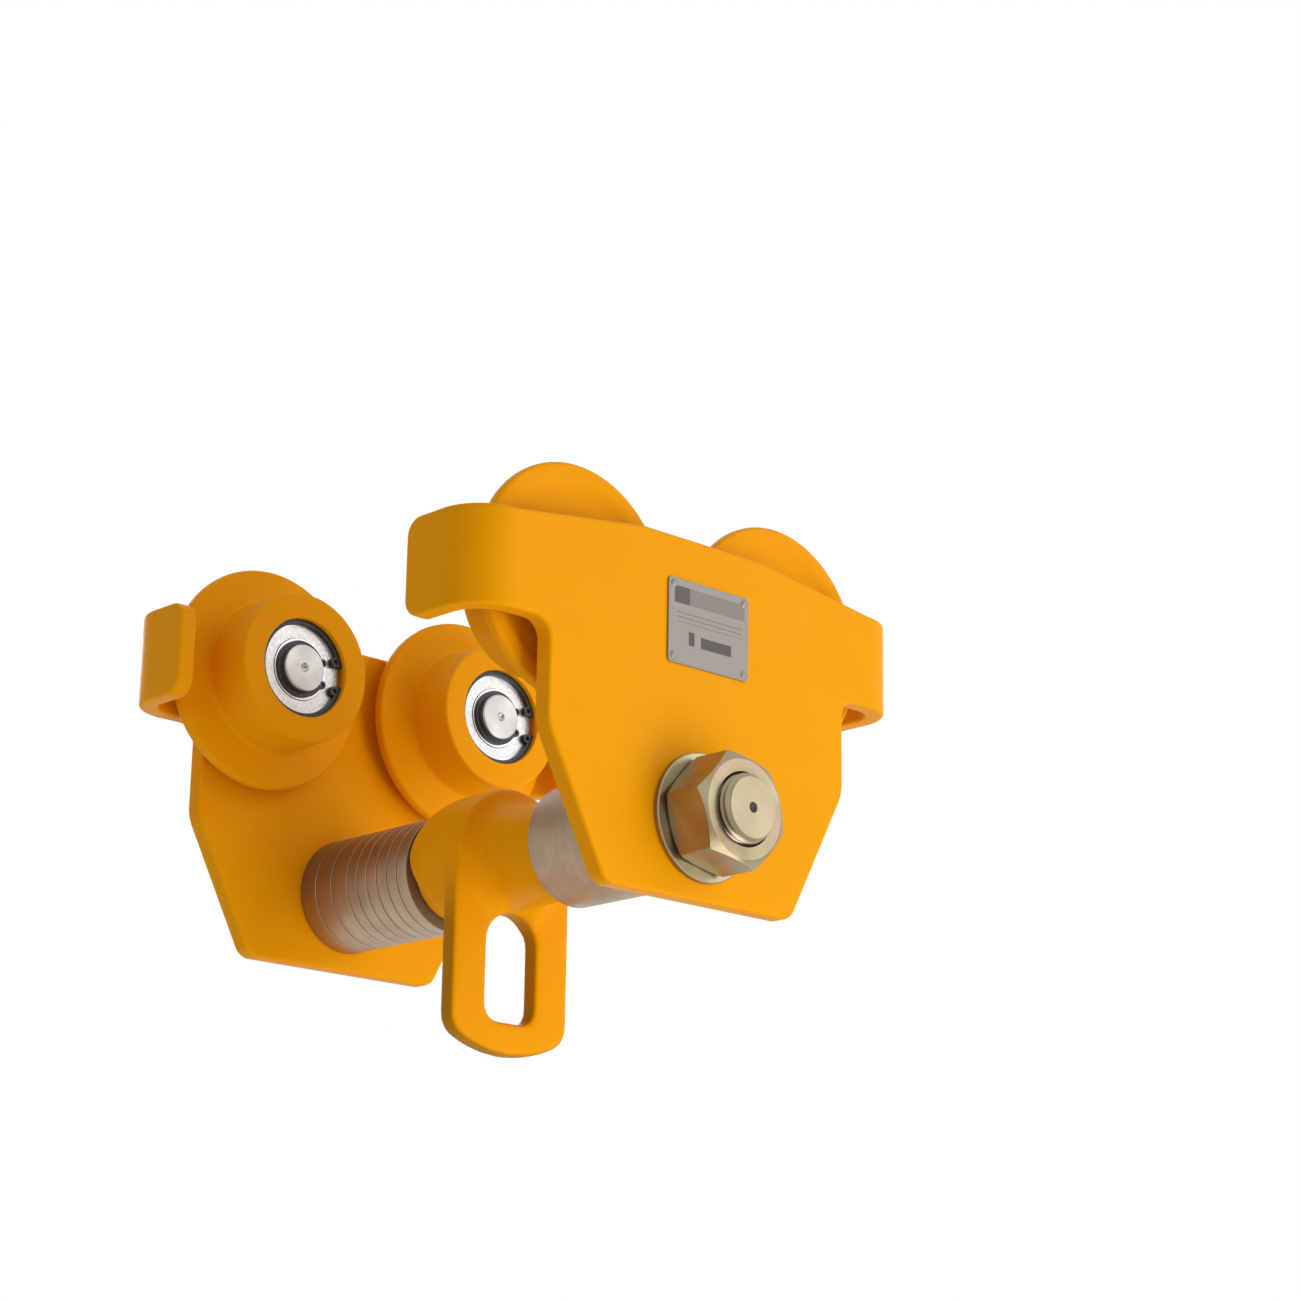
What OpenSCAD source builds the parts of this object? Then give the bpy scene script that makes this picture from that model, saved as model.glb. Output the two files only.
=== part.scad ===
// Push trolley for the lower flange of an I-beam. Two pressed side plates carry
// four flanged wheels on ball bearings, and a load bar with a swinging lug joins them.
// X runs along the beam, Y across it and Z up. The origin is the middle of the
// surface that the wheels run on.

/* [Beam] */
// Width of the beam flange that the spacer rings are set for
beam_w = 220; // [190:1:280]
// Gap between each wheel flange and the edge of the beam
flange_play = 2.7; // [1:0.1:6]

/* [Side plates] */
// Thickness of the pressed sheet
plate_t = 10; // [8:0.5:12]
// Width of the plate under its wheels
neck_w = 194; // [180:1:200]
// Width of the plate's bottom edge
foot_w = 121; // [100:1:140]
// Depth of the bottom edge below the load bar
foot_drop = 39.5; // [35:0.5:50]
// Height of the sloping sides' upper end above the load bar
knee_rise = 28.8; // [15:0.1:40]
// Height of the top edge between the wheels, above the axles
crown_h = 31.2; // [26:0.1:40]
// Length of the level part of the top edge
crown_w = 80; // [50:1:120]
// Length of the plate over its bent ends
bumper_l = 284.5; // [280:0.5:320]
// Height of the bent ends' upper edge above the axles
bumper_up = 20.7; // [15:0.1:26]
// Depth of the bent ends' lower edge below the axles
bumper_down = 27.3; // [20:0.1:32]
// Outer radius of the bends
bend_r = 25; // [20:0.5:28]
// Reach of the bent ends behind the plate's outer face
bumper_reach = 50.6; // [44:0.1:60]
// Corner radius of the plate's feet, necks and bent ends
plate_corner_r = 9; // [5:0.5:12]

/* [Wheels] */
// Distance between the axles of one plate
wheel_pitch = 133.2; // [126:0.1:138]
// Radius of the tread beside the flange, which is also the axle's height
tread_r = 40; // [36:0.5:44]
// Loss of radius over the length of the tapered tread
tread_taper = 0.8; // [0:0.1:2]
// Radius of the wheel flange
flange_r = 58.4; // [55:0.1:60]
// Thickness of the flange at its rim
flange_rim_t = 6; // [4:0.1:8]
// Thickness of the flange at the tread
flange_root_t = 10.5; // [8.5:0.1:13]
// Width of the wheel
wheel_w = 38.2; // [34:0.1:46]
// Gap between the side plate and the wheel's outer face
wheel_gap = 6.4; // [4:0.1:9]
// Fillet between flange and tread
root_fillet = 3; // [1:0.5:4]
// Rounding of the flange's outer edges
rim_round = 2.2; // [1:0.1:2.5]
// Depth of the ring-shaped recess in the wheel's outer face
dish_depth = 2; // [1:0.1:5]
// Inner radius of that recess
dish_r1 = 23; // [20:0.5:26]
// Outer radius of that recess
dish_r2 = 51; // [46:0.5:53]
// Width of the slopes round that recess
dish_slope = 6; // [5:0.5:9]

/* [Bearings and axles] */
// Bore of the ball bearing
bearing_bore = 25; // [20:1:25]
// Outer diameter of the ball bearing
bearing_od = 52; // [50:1:55]
// Width of the ball bearing
bearing_w = 15; // [13:0.5:17]
// Diameter of a ball
ball_d = 7.94; // [6:0.01:8.5]
// Number of balls in each bearing
ball_n = 9; // [7:1:9]
// Depth of the bearing below the wheel's inner face
bearing_inset = 4.85; // [4.5:0.05:7]
// Radial clearance between a ball and its races
race_play = 0.06; // [0.02:0.01:0.1]
// Thickness of the bearing shields
shield_t = 0.5; // [0.3:0.1:0.8]
// Diameter of the axle's riveted end in the side plate
spigot_d = 24; // [18:1:26]
// Diameter of the axle's collar
collar_d = 32; // [30:0.5:32]
// Depth of the countersink that the axle is riveted into
sink_depth = 3; // [1.5:0.5:5]

/* [Load bar] */
// Diameter of the load bar and of its nuts' thread
bar_d = 33; // [30:1:34]
// Depth of the load bar's axis below the running surface
bar_drop = 64.3; // [60:0.1:75]
// Width of the nuts across their flats
nut_af = 50; // [46:1:55]
// Height of the nuts
nut_h = 25.6; // [20:0.1:30]
// Turn of the nuts about the bar, from a corner on the level
nut_turn = 12; // [0:1:59]
// Diameter of the washers under the nuts
washer_d = 62; // [56:1:66]
// Thickness of those washers
washer_t = 3; // [2:0.5:5]
// Length of the bar beyond each nut
bar_tip = 5.4; // [3:0.1:12]
// Diameter of the turning centre in the bar's ends
centre_d = 5; // [3:0.5:8]

/* [Spacer rings] */
// Outer diameter of the spacer sleeve and rings
ring_d = 60; // [52:0.5:64]
// Clearance of the sleeve, rings and washers round the bar
ring_play = 0.5; // [0.3:0.1:1]
// Thickness of a wide ring
wide_t = 13; // [8:0.5:14]
// Chamfer on the edges of the rings
ring_chamfer = 0.7; // [0.3:0.1:1.2]

/* [Load lug] */
// Place of the eye's middle along the bar, from the middle of the trolley
eye_y = -1.6; // [-6:0.1:6]
// Length of the hub from the eye's middle towards the near plate
hub_near = 48.4; // [40:0.1:60]
// Length of the hub from the eye's middle towards the far plate
hub_far = 43.6; // [38:0.1:50]
// Radius of the slim part of the hub
boss_r = 25; // [22:0.5:28]
// Radius of the head round the bar
head_r = 36.4; // [32:0.1:38]
// Radius of the hub's far end
lobe_r = 29.5; // [27:0.1:31]
// Distance behind the eye's middle at which the head starts to slope
head_back = 16.6; // [10:0.1:20]
// Width of the eye
eye_w = 75.2; // [73:0.1:86]
// Thickness of the eye
eye_t = 10; // [8:0.5:14]
// Depth of the eye's lowest point below the bar
eye_drop = 97.8; // [92:0.1:120]
// Radius of the eye's curved bottom
eye_bottom_r = 70; // [50:1:90]
// Corner radius of the eye's bottom
eye_corner_r = 12.5; // [4:0.5:20]
// Width of the slot for the hoist's hook
slot_w = 31.5; // [24:0.5:38]
// Depth of the slot's top below the bar
slot_top = 27; // [25:0.1:30]
// Depth of the slot's bottom below the bar
slot_bottom = 81.5; // [70:0.5:86]
// Corner radius at the slot's bottom
slot_corner_r = 8.5; // [2:0.5:11]
// Radial clearance of the lug on the bar
lug_play = 0.08; // [0.03:0.01:0.1]
// End clearance of the lug between its neighbours
end_play = 0.3; // [0.2:0.05:0.6]
// Fillet between the hub's slim part and the eye
hub_fillet = 13; // [6:0.5:16]

/* [Rating plate] */
// Width of the plate
tag_w = 53.3; // [40:0.1:60]
// Height of the plate
tag_h = 42; // [30:0.1:46]
// Thickness of the plate
tag_t = 1; // [0.5:0.1:1.5]
// Distance of its middle beyond the middle of the side plate
tag_x = 2.6; // [-10:0.1:10]
// Depth of its middle below the axles
tag_drop = 11.3; // [6:0.1:20]
// Corner radius of the plate
tag_corner_r = 2; // [0.5:0.5:3]
// Distance of the rivets from the plate's edges
rivet_inset = 3.2; // [2.5:0.1:5]
// Diameter of the rivets' shanks
rivet_d = 2.4; // [2:0.1:3]
// Depth of the rivets in the side plate
rivet_l = 5; // [3:0.5:7]

/* [Hidden] */
$fn = 64;
SIDES = ["near", "far"];
ENDS = ["left", "right"];
WIDE_N = 3;
NARROW_N = 6;
WHEEL_PARTS = ["wheel", "axle", "bearing_inner_ring", "bearing_outer_ring", "bearing_balls",
               "bearing_cage", "bearing_shields", "bore_circlip", "axle_circlip"];

// Small overlap that keeps cuts clean
eps = 0.01;
arc_steps = 8;

axle_h = tread_r;
bar_z = -bar_drop;
bar_r = bar_d / 2;
plate_gap = beam_w + 2 * (flange_play + flange_root_t + wheel_gap);
half_gap = plate_gap / 2;
half_out = half_gap + plate_t;
bumper_top = axle_h + bumper_up;
bumper_low = axle_h - bumper_down;
bend_x = bumper_l / 2 - bend_r;
knee_z = bar_z + knee_rise;
foot_z = bar_z - foot_drop;

// Along a wheel's own axis, from its outer face towards the beam
bearing_y = wheel_w - bearing_inset - bearing_w;
bearing_r = bearing_od / 2;
journal_r = bearing_bore / 2;
ball_r = ball_d / 2;
pitch_r = (bearing_r + journal_r) / 2;
groove_depth = ball_r / 4;
inner_land_r = pitch_r - ball_r + groove_depth;
outer_land_r = pitch_r + ball_r - groove_depth;
shoulder_lip = 3.5;
shoulder_w = 3;
shoulder_r = bearing_r - shoulder_lip;
collar_r = collar_d / 2;
collar_play = 1.2;
spigot_r = spigot_d / 2;
cage_wall = 2.4;
cage_rim = 1.3;
shield_play = 0.3;
axle_nose = 3;
axle_chamfer = 1;

// Snap rings: thickness, width, depth in their groove, eyes for the pliers and angle of the gap
clip_play = 0.1;
bore_clip_t = 2;
bore_clip_w = 3.2;
bore_clip_depth = 1.5;
bore_clip_eye_r = 2.6;
bore_clip_gap = 24;
axle_clip_t = 1.2;
axle_clip_w = 3;
axle_clip_depth = 0.55;
axle_clip_eye_r = 2.2;
axle_clip_gap = 30;
clip_eye_turn = 8;

// Along the load bar, from the middle of the trolley
washer_y = half_out + washer_t;
nut_y = washer_y + nut_h;
bar_half = nut_y + bar_tip;
bar_chamfer = 2;
lug_near = hub_near + end_play - eye_y;
lug_far = hub_far + end_play + eye_y;
sleeve_l = half_gap - lug_near;
narrow_t = (half_gap - lug_far - WIDE_N * wide_t) / NARROW_N;
hub_l = hub_near + hub_far;
hub_chamfer = 1;
eye_centre_z = bar_z - eye_drop + eye_bottom_r;
slot_arc_z = bar_z - slot_top - slot_w / 2;
tag_z = axle_h - tag_drop;

paint = [0.98, 0.65, 0.05];
zinc = [0.66, 0.60, 0.50];
steel = [0.62, 0.61, 0.60];

// Points of an outline with each corner rounded by its own radius
function unit(v) = v / norm(v);
function rounded(points, radii) = [
    for (i = [0:len(points) - 1])
        let (n = len(points), p = points[i], r = radii[i],
             a = unit(points[(i + n - 1) % n] - p), b = unit(points[(i + 1) % n] - p),
             half = acos(a * b) / 2, mid = unit(a + b), centre = p + mid * r / sin(half),
             from = p + a * r / tan(half) - centre, turn = acos(-(a * b)),
             way = a[0] * b[1] - a[1] * b[0] < 0 ? 1 : -1)
        each r == 0 ? [p] : [
            for (k = [0:arc_steps])
                let (w = way * turn * k / arc_steps)
                centre + [from[0] * cos(w) - from[1] * sin(w), from[0] * sin(w) + from[1] * cos(w)]]];

// Points of an arc, without the given number of steps at each of its ends
function arc(centre, r, from, to, steps, skip) = [
    for (k = [skip:steps - skip]) let (w = from + (to - from) * k / steps) centre + r * [cos(w), sin(w)]];

// Turns a shape drawn about Z so that it lies about Y
module along_y(y = 0) { translate([0, y, 0]) rotate([-90, 0, 0]) children(); }

// Places a part of a wheel, drawn about Z with its outer face at 0, on one of the four axles
module on_axle(side, end) {
    way = side == "near" ? 0 : 1;
    x = (end == "left" ? -1 : 1) * wheel_pitch / 2;
    mirror([0, way, 0]) translate([x, -half_gap + wheel_gap, axle_h]) rotate([-90, 0, 0]) children();
}

// Places a part of the load bar, drawn about Z with its start at 0, on the bar's axis
module on_bar(y) { translate([0, 0, bar_z]) along_y(y) children(); }

module mirrored_far(side) { mirror([0, side == "near" ? 0 : 1, 0]) children(); }

module ring(r_out, r_in, length, chamfer) {
    rotate_extrude() polygon([
        [r_in, 0], [r_out - chamfer, 0], [r_out, chamfer],
        [r_out, length - chamfer], [r_out - chamfer, length], [r_in, length]]);
}

// Outline of the flat part of a side plate, up to the start of its bends
module plate_outline() {
    right = [
        [foot_w / 2, foot_z], [neck_w / 2, knee_z], [neck_w / 2, bumper_low], [bend_x, bumper_low],
        [bend_x, bumper_top], [crown_w / 2, axle_h + crown_h]];
    left = [for (i = [len(right) - 1:-1:0]) [-right[i][0], right[i][1]]];
    radii = [plate_corner_r, 2 * plate_corner_r, plate_corner_r, 0, 0, 4 * plate_corner_r];
    polygon(rounded(concat(right, left), concat(radii, [for (i = [5:-1:0]) radii[i]])));
}

module bent_end() {
    height = bumper_top - bumper_low;
    translate([bend_x, bend_r, bumper_low]) {
        rotate([0, 0, -90]) rotate_extrude(angle = 90)
            translate([bend_r - plate_t, 0]) square([plate_t, height]);
        translate([bend_r - plate_t, 0, 0]) rotate([90, 0, 90]) linear_extrude(plate_t)
            polygon(rounded([[0, 0], [bumper_reach - bend_r, 0], [bumper_reach - bend_r, height], [0, height]],
                            [0, plate_corner_r, plate_corner_r, 0]));
    }
}

// One folded sheet with its outer face at Y 0 and its bent ends behind
module side_plate_blank() {
    difference() {
        union() {
            translate([0, plate_t, 0]) rotate([90, 0, 0]) linear_extrude(plate_t) plate_outline();
            bent_end();
            mirror([1, 0, 0]) bent_end();
        }
        for (x = [-1, 1] * wheel_pitch / 2) translate([x, 0, axle_h]) {
            along_y(-eps) cylinder(r = spigot_r, h = plate_t + 2 * eps);
            along_y() cylinder(r1 = spigot_r + sink_depth, r2 = spigot_r, h = sink_depth);
        }
        translate([0, 0, bar_z]) along_y(-eps)
            cylinder(r = bar_r + ring_play, h = plate_t + 2 * eps);
    }
}

module side_plate(side) {
    color(paint) mirrored_far(side) translate([0, -half_out, 0]) difference() {
        side_plate_blank();
        if (side == "near") tag_holes() along_y(-eps) cylinder(d = rivet_d, h = rivet_l);
    }
}

// Flanged wheel with a tapered tread, a dished outer face and a seat for its bearing
module wheel() {
    tread_end = tread_r - tread_taper;
    seat_end = bearing_y + bearing_w;
    groove_end = seat_end + bore_clip_t + clip_play;
    hub_hole = collar_r + collar_play;
    color(paint) rotate_extrude() polygon(rounded([
        [hub_hole, 0], [dish_r1, 0], [dish_r1 + dish_slope, dish_depth],
        [dish_r2 - dish_slope, dish_depth], [dish_r2, 0], [flange_r, 0], [flange_r, flange_rim_t],
        [tread_r, flange_root_t], [tread_end, wheel_w], [bearing_r, wheel_w],
        [bearing_r, groove_end], [bearing_r + bore_clip_depth, groove_end],
        [bearing_r + bore_clip_depth, seat_end], [bearing_r, seat_end],
        [bearing_r, bearing_y], [shoulder_r, bearing_y], [shoulder_r, bearing_y - shoulder_w],
        [hub_hole, bearing_y - shoulder_w]],
        [0, dish_slope, dish_slope, dish_slope, dish_slope, rim_round, rim_round, root_fillet, rim_round,
         0, 0, 0, 0, 0, 0, 0, 0, 0]));
}

// Stub axle, riveted flush into the plate, with a collar that the bearing seats against
module axle() {
    inner = -wheel_gap;
    outer = inner - plate_t;
    end = bearing_y + bearing_w + axle_clip_t + clip_play + axle_nose;
    groove = bearing_y + bearing_w;
    neck_r = journal_r - axle_clip_depth;
    color(steel) rotate_extrude() polygon([
        [0, outer], [spigot_r + sink_depth, outer], [spigot_r, outer + sink_depth], [spigot_r, inner],
        [collar_r, inner], [collar_r, bearing_y], [journal_r, bearing_y], [journal_r, groove],
        [neck_r, groove], [neck_r, end - axle_nose], [journal_r, end - axle_nose],
        [journal_r, end - axle_chamfer], [journal_r - axle_chamfer, end],
        [centre_d / 2, end], [0, end - centre_d / 2]]);
}

// Half section of a bearing ring between two radii, with the ball groove cut in
module race(r_in, r_out, recess) {
    difference() {
        translate([r_in, 0]) square([r_out - r_in, bearing_w]);
        translate([pitch_r, bearing_w / 2]) circle(r = ball_r + race_play);
        if (recess) for (y = [-eps, bearing_w - 2 * shield_t])
            translate([r_in - eps, y]) square([shield_t + eps, 2 * shield_t + eps]);
    }
}

module bearing_inner_ring() {
    color(steel) translate([0, 0, bearing_y]) rotate_extrude() race(journal_r, inner_land_r, false);
}

module bearing_outer_ring() {
    color(steel) translate([0, 0, bearing_y]) rotate_extrude() race(outer_land_r, bearing_r, true);
}

module bearing_balls() {
    color("silver") for (i = [0:ball_n - 1]) rotate([0, 0, i * 360 / ball_n])
        translate([pitch_r, 0, bearing_y + bearing_w / 2]) sphere(r = ball_r);
}

module bearing_cage() {
    length = ball_d + 2 * cage_rim;
    color("darkolivegreen") difference() {
        translate([0, 0, bearing_y + (bearing_w - length) / 2]) difference() {
            cylinder(r = pitch_r + cage_wall / 2, h = length);
            translate([0, 0, -eps]) cylinder(r = pitch_r - cage_wall / 2, h = length + 2 * eps);
        }
        translate([0, 0, bearing_y + bearing_w / 2]) for (i = [0:ball_n - 1])
            rotate([0, 90, i * 360 / ball_n]) cylinder(r = ball_r + clip_play, h = bearing_r);
    }
}

module bearing_shields() {
    color(steel) for (y = [shield_t, bearing_w - 2 * shield_t]) translate([0, 0, bearing_y + y])
        difference() {
            cylinder(r = outer_land_r + shield_t, h = shield_t);
            translate([0, 0, -eps]) cylinder(r = inner_land_r + shield_play, h = shield_t + 2 * eps);
        }
}

// Snap ring of flat steel: a ring with a gap, and an eye for the pliers on each side of it
module snap_ring(r_in, r_out, eye_r, eye_at, gap) {
    difference() {
        union() {
            difference() {
                circle(r = r_out);
                circle(r = r_in);
            }
            for (w = [-1, 1]) rotate(w * (gap / 2 + clip_eye_turn)) translate([eye_at, 0]) circle(r = eye_r);
        }
        polygon([[0, 0], 2 * r_out * [cos(gap / 2), -sin(gap / 2)], 2 * r_out * [cos(gap / 2), sin(gap / 2)]]);
        for (w = [-1, 1]) rotate(w * (gap / 2 + clip_eye_turn)) translate([eye_at, 0]) circle(r = eye_r / 2);
    }
}

module bore_circlip() {
    r_out = bearing_r + bore_clip_depth;
    r_in = r_out - bore_clip_depth / 2 - bore_clip_w;
    color(steel) translate([0, 0, bearing_y + bearing_w]) linear_extrude(bore_clip_t)
        snap_ring(r_in, r_out, bore_clip_eye_r, r_in - bore_clip_eye_r / 3, bore_clip_gap);
}

module axle_circlip() {
    r_in = journal_r - axle_clip_depth;
    r_out = r_in + axle_clip_w;
    color(steel) translate([0, 0, bearing_y + bearing_w]) linear_extrude(axle_clip_t)
        snap_ring(r_in, r_out, axle_clip_eye_r, r_out, axle_clip_gap);
}

// Round bar with threaded ends, a chamfer and a turning centre at each end
module load_bar() {
    r = centre_d / 2;
    end = 2 * bar_half;
    color(zinc) on_bar(-bar_half) rotate_extrude() polygon([
        [0, r], [r, 0], [bar_r - bar_chamfer, 0], [bar_r, bar_chamfer], [bar_r, end - bar_chamfer],
        [bar_r - bar_chamfer, end], [r, end], [0, end - r]]);
}

// Half outline of the forged hub: slim boss, fillet, head and a domed far end
module hub_section() {
    front = hub_near - eye_t / 2;
    drop = head_r - lobe_r;
    slope = hub_far - 2 * hub_chamfer - head_back;
    dome_r = (slope * slope + drop * drop) / (2 * drop);
    span = asin(slope / dome_r);
    near_fillet = [for (k = [0:arc_steps])
        let (w = k * acos(max(0, 1 - (head_r - boss_r) / hub_fillet)) / arc_steps)
        [boss_r + hub_fillet * (1 - cos(w)), front - hub_fillet + hub_fillet * sin(w)]];
    dome = [for (k = [0:arc_steps])
        let (w = k * span / arc_steps)
        [head_r - dome_r * (1 - cos(w)), hub_near + head_back + dome_r * sin(w)]];
    polygon(concat(
        [[0, 0], [boss_r - hub_chamfer, 0], [boss_r, hub_chamfer]], near_fillet, [[head_r, front]], dome,
        [[lobe_r - 2 * hub_chamfer, hub_l], [0, hub_l]]));
}

// Outline of the eye: its sides draw in and end inside the head, and its bottom is an arc
// that runs into the sides through two smaller ones
module eye_outline() {
    half = eye_w / 2;
    draw_in = 2;
    corner_x = half - eye_corner_r;
    corner_z = eye_centre_z - sqrt(pow(eye_bottom_r - eye_corner_r, 2) - corner_x * corner_x);
    meet = atan2(corner_z - eye_centre_z, corner_x);
    right = [[half, bar_z - slot_top / 2], [head_r - draw_in, bar_z + 2 * draw_in]];
    polygon(concat(
        arc([-corner_x, corner_z], eye_corner_r, -180, -180 - meet, arc_steps, 0),
        arc([0, eye_centre_z], eye_bottom_r, -180 - meet, meet, 2 * arc_steps, 1),
        arc([corner_x, corner_z], eye_corner_r, meet, 0, arc_steps, 0),
        right, [for (i = [1, 0]) [-right[i][0], right[i][1]]]));
}

module slot_outline() {
    r = slot_w / 2;
    translate([0, slot_arc_z]) circle(r = r);
    polygon(rounded([[-r, slot_arc_z], [-r, bar_z - slot_bottom], [r, bar_z - slot_bottom], [r, slot_arc_z]],
                    [0, slot_corner_r, slot_corner_r, 0]));
}

// Forged lug that swings on the bar, with a slotted eye below it. The slot flares
// into the head on both faces, down to the slim part of the hub, so that a hook can turn in it.
module load_lug() {
    flare = hub_far;
    lead = 0.2;
    color(paint) translate([0, eye_y, 0]) difference() {
        union() {
            on_bar(-hub_near) rotate_extrude() hub_section();
            translate([0, eye_t / 2, 0]) rotate([90, 0, 0]) linear_extrude(eye_t) eye_outline();
        }
        translate([0, eye_t, 0]) rotate([90, 0, 0]) linear_extrude(2 * eye_t) slot_outline();
        difference() {
            translate([0, 0, slot_arc_z]) for (m = [0, 1]) mirror([0, m, 0]) along_y(eye_t / 2 - 2 * lead)
                cylinder(r1 = slot_w / 2 - lead, r2 = slot_w / 2 - lead + flare, h = flare);
            on_bar(-hub_near - eps) cylinder(r = boss_r + lead, h = hub_l + 2 * eps);
        }
        on_bar(-hub_near - eps) cylinder(r = bar_r + lug_play, h = hub_l + 2 * eps);
    }
}

module spacer(y, length) {
    color(zinc) on_bar(y) ring(ring_d / 2, bar_r + ring_play, length, ring_chamfer);
}

module spacer_sleeve() { spacer(-half_gap, sleeve_l); }
module wide_ring(i) { spacer(half_gap - i * wide_t, wide_t); }
module narrow_ring(i) { spacer(lug_far + (i - 1) * narrow_t, narrow_t); }

module washer(side) {
    color(zinc) mirrored_far(side) on_bar(-washer_y)
        ring(washer_d / 2, bar_r + ring_play, washer_t, ring_chamfer);
}

// Hexagon nut with both its faces chamfered at 30 degrees, down to a land of 0.95 of its width
module nut(side) {
    corner_r = nut_af / sqrt(3);
    land_r = 0.95 * nut_af / 2;
    cone_r = 0.6 * nut_af;
    slope = (cone_r - land_r) * tan(30);
    color(zinc) mirrored_far(side) on_bar(-nut_y) difference() {
        intersection() {
            rotate([0, 0, nut_turn]) cylinder(r = corner_r, h = nut_h, $fn = 6);
            rotate_extrude() polygon([
                [0, 0], [land_r, 0], [cone_r, slope], [cone_r, nut_h - slope], [land_r, nut_h], [0, nut_h]]);
        }
        translate([0, 0, -eps]) cylinder(r = bar_r, h = nut_h + 2 * eps);
    }
}

// Repeats its children at the rating plate's four rivets, on the near plate's outer face
module tag_holes() {
    for (x = [-1, 1], z = [-1, 1])
        translate([tag_x + x * (tag_w / 2 - rivet_inset), 0, tag_z + z * (tag_h / 2 - rivet_inset)])
            children();
}

module rating_plate() {
    w = tag_w / 2;
    h = tag_h / 2;
    color("silver") translate([0, -half_out, 0]) difference() {
        translate([tag_x, 0, tag_z]) rotate([90, 0, 0]) linear_extrude(tag_t)
            polygon(rounded([[-w, -h], [w, -h], [w, h], [-w, h]], [for (k = [1:4]) tag_corner_r]));
        tag_holes() along_y(-tag_t - eps) cylinder(d = rivet_d, h = tag_t + 2 * eps);
    }
}

// Drive rivets with low domed heads
module tag_rivets() {
    dome_r = 0.9 * rivet_d;
    dome_h = 0.4 * rivet_d;
    ball = (dome_r * dome_r + dome_h * dome_h) / (2 * dome_h);
    tip = rivet_l + tag_t - eps;
    color("silver") translate([0, -half_out, 0]) tag_holes() along_y(-tag_t) rotate_extrude()
        polygon(concat(
            [[0, -dome_h]],
            [for (k = [1:arc_steps]) let (w = k * asin(dome_r / ball) / arc_steps)
                [ball * sin(w), ball * (1 - cos(w)) - dome_h]],
            [[rivet_d / 2, 0], [rivet_d / 2, tip], [0, tip]]));
}

module wheel_part(part) {
    if (part == "wheel") wheel();
    if (part == "axle") axle();
    if (part == "bearing_inner_ring") bearing_inner_ring();
    if (part == "bearing_outer_ring") bearing_outer_ring();
    if (part == "bearing_balls") bearing_balls();
    if (part == "bearing_cage") bearing_cage();
    if (part == "bearing_shields") bearing_shields();
    if (part == "bore_circlip") bore_circlip();
    if (part == "axle_circlip") axle_circlip();
}

for (side = SIDES) {
    side_plate(side);
    washer(side);
    nut(side);
}
for (part = WHEEL_PARTS, side = SIDES, end = ENDS)
    on_axle(side, end) wheel_part(part);
for (i = [1:WIDE_N])
    wide_ring(i);
for (i = [1:NARROW_N])
    narrow_ring(i);
load_bar();
load_lug();
spacer_sleeve();
rating_plate();
tag_rivets();
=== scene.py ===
import math

import bmesh
import bpy
from mathutils import Matrix, Vector


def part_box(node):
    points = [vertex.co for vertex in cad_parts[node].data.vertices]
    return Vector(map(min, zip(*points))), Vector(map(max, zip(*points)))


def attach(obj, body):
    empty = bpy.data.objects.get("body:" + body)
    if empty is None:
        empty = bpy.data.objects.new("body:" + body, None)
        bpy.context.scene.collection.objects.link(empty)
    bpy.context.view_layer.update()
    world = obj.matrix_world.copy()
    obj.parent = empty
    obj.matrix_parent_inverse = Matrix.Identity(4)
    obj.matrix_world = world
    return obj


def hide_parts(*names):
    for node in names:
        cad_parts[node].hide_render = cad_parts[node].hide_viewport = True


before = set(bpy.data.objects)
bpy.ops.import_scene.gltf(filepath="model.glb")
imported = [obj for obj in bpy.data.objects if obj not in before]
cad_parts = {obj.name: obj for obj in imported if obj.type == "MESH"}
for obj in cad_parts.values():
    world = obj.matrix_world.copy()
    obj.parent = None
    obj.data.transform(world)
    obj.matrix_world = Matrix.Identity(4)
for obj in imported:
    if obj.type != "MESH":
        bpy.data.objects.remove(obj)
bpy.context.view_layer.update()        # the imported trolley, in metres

mm = 0.001
tiny = 0.02 * mm         # points that are closer are one point
spare = 1 * mm           # how far a cutting tool runs past the piece
print("frame loaded,", len(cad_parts), "nodes")


# Camera and lamps

cameraView = {
    "place": (-0.96689, -1.13016, -0.38861),
    "azimuth": -43.2555,      # degrees, 0 looks along +Y
    "elevation": -16.3572,    # below the horizon, so the view goes up
    "roll": 0.8957,
    "lens": 84.01,
    "sensor": 36,
    "nearest": 0.05,
    "farthest": 50,
}


def addCamera(view):
    turn, lift, roll = (math.radians(view[key]) for key in ("azimuth", "elevation", "roll"))
    across = Vector((math.cos(turn), math.sin(turn), 0))
    back = Vector((math.sin(turn) * math.cos(lift), -math.cos(turn) * math.cos(lift), math.sin(lift)))
    up = back.cross(across)
    right = math.cos(roll) * across + math.sin(roll) * up
    top = math.cos(roll) * up - math.sin(roll) * across
    bpy.ops.object.camera_add()
    camera = bpy.context.object
    camera.rotation_mode = "QUATERNION"
    camera.location = view["place"]
    camera.rotation_quaternion = Matrix((right, top, back)).transposed().to_quaternion()
    camera.data.lens = view["lens"]
    camera.data.sensor_width = view["sensor"]
    camera.data.clip_start = view["nearest"]
    camera.data.clip_end = view["farthest"]
    bpy.context.scene.camera = camera


lampPlan = [
    # name, place, power, size
    ("keyLamp", (1.4, -2.0, 0.5), 33, 3),
    ("leftLamp", (-2.2, -0.6, 0.1), 7, 1.6),
    ("lowLamp", (0.5, -1.3, -0.7), 8, 0.9),
    ("backLamp", (0.8, 2.4, 0.9), 24, 1.6),
    ("topLamp", (0, 0.2, 2.2), 7, 1.6),
]


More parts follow.
